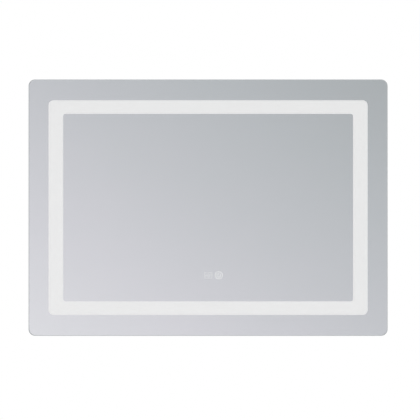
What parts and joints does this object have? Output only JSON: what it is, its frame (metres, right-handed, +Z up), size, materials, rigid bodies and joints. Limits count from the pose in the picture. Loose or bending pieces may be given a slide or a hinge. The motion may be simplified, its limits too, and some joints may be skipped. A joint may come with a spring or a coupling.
{
  "type": "lighted bathroom mirror",
  "caption": "Wall-hung rectangular mirror with a lit frosted band round its field, touch symbols, a louvred back panel and a hook-on wall rail.",
  "frame": {"origin": "midway between the two screw slots of the wall rail, on the wall plane", "axes": "+X across the mirror to the viewer's right, +Y into the wall, +Z up; the front faces -Y"},
  "size_m": [0.7, 0.0378, 0.5],
  "materials": {
    "mirror_glass": "clear float glass, polished",
    "silver": "silvered mirror",
    "frosted_enamel": "frosted white, lit from behind",
    "aluminium": "anodised satin",
    "panel_paint": "matte white powder coat",
    "zinc_steel": "zinc plated",
    "rubber": "matte",
    "adhesive": "neutral silicone",
    "opal_plastic": "opal diffusing",
    "white_plastic": "moulded satin",
    "black_plastic": "moulded satin",
    "circuit_board": "solder mask",
    "tape_board": "white solder mask",
    "led": "phosphor filled",
    "brass": "plain",
    "ferrite": "wound core under tape",
    "live_wire": "brown insulation",
    "neutral_wire": "blue insulation",
    "earth_wire": "green and yellow insulation",
    "low_voltage_wire": "white insulation",
    "heater_film": "amber film",
    "heater_foil": "etched foil"
  },
  "bodies": {
    "wall_rail": {"wall_rail": "zinc_steel"},
    "mirror": {"back_panel": "panel_paint", "back_panel_screws": "zinc_steel", "cable_grommet": "rubber", "corner_key_bottom_left": "zinc_steel", "corner_key_bottom_right": "zinc_steel", "corner_key_top_left": "zinc_steel", "corner_key_top_right": "zinc_steel", "demister_foil": "heater_foil", "demister_lead": "low_voltage_wire", "demister_pad": "heater_film", "diffuser_bottom": "opal_plastic", "diffuser_left": "opal_plastic", "diffuser_right": "opal_plastic", "diffuser_top": "opal_plastic", "driver_base": "white_plastic", "driver_board": "circuit_board", "driver_capacitors": "black_plastic", "driver_cover": "white_plastic", "driver_screws": "zinc_steel", "driver_transformer": "ferrite", "earth_lead": "earth_wire", "earth_nut": "zinc_steel", "earth_stud": "zinc_steel", "frame_adhesive": "adhesive", "frame_bottom": "aluminium", "frame_left": "aluminium", "frame_right": "aluminium", "frame_top": "aluminium", "frosted_band": "frosted_enamel", "lead_clips": "white_plastic", "led_chips_bottom": "led", "led_chips_left": "led", "led_chips_right": "led", "led_chips_top": "led", "led_feed_lead": "low_voltage_wire", "led_jumpers": "low_voltage_wire", "led_supply_lead": "low_voltage_wire", "led_tape_bottom": "tape_board", "led_tape_left": "tape_board", "led_tape_right": "tape_board", "led_tape_top": "tape_board", "live_lead": "live_wire", "mirror_glass": "mirror_glass", "mirror_rail": "zinc_steel", "mirror_rail_screws": "zinc_steel", "neutral_lead": "neutral_wire", "silver_border": "silver", "silver_field": "silver", "terminal_body": "white_plastic", "terminal_contacts": "brass", "terminal_screws": "zinc_steel", "touch_board": "circuit_board", "touch_case": "black_plastic", "touch_springs": "zinc_steel", "wall_bumpers": "rubber"}
  },
  "joints": [
    {"name": "lift_off", "type": "slide", "parent": "wall_rail", "child": "mirror", "axis": [0, 0, 1], "range_m": [0, 0.014]}
  ]
}
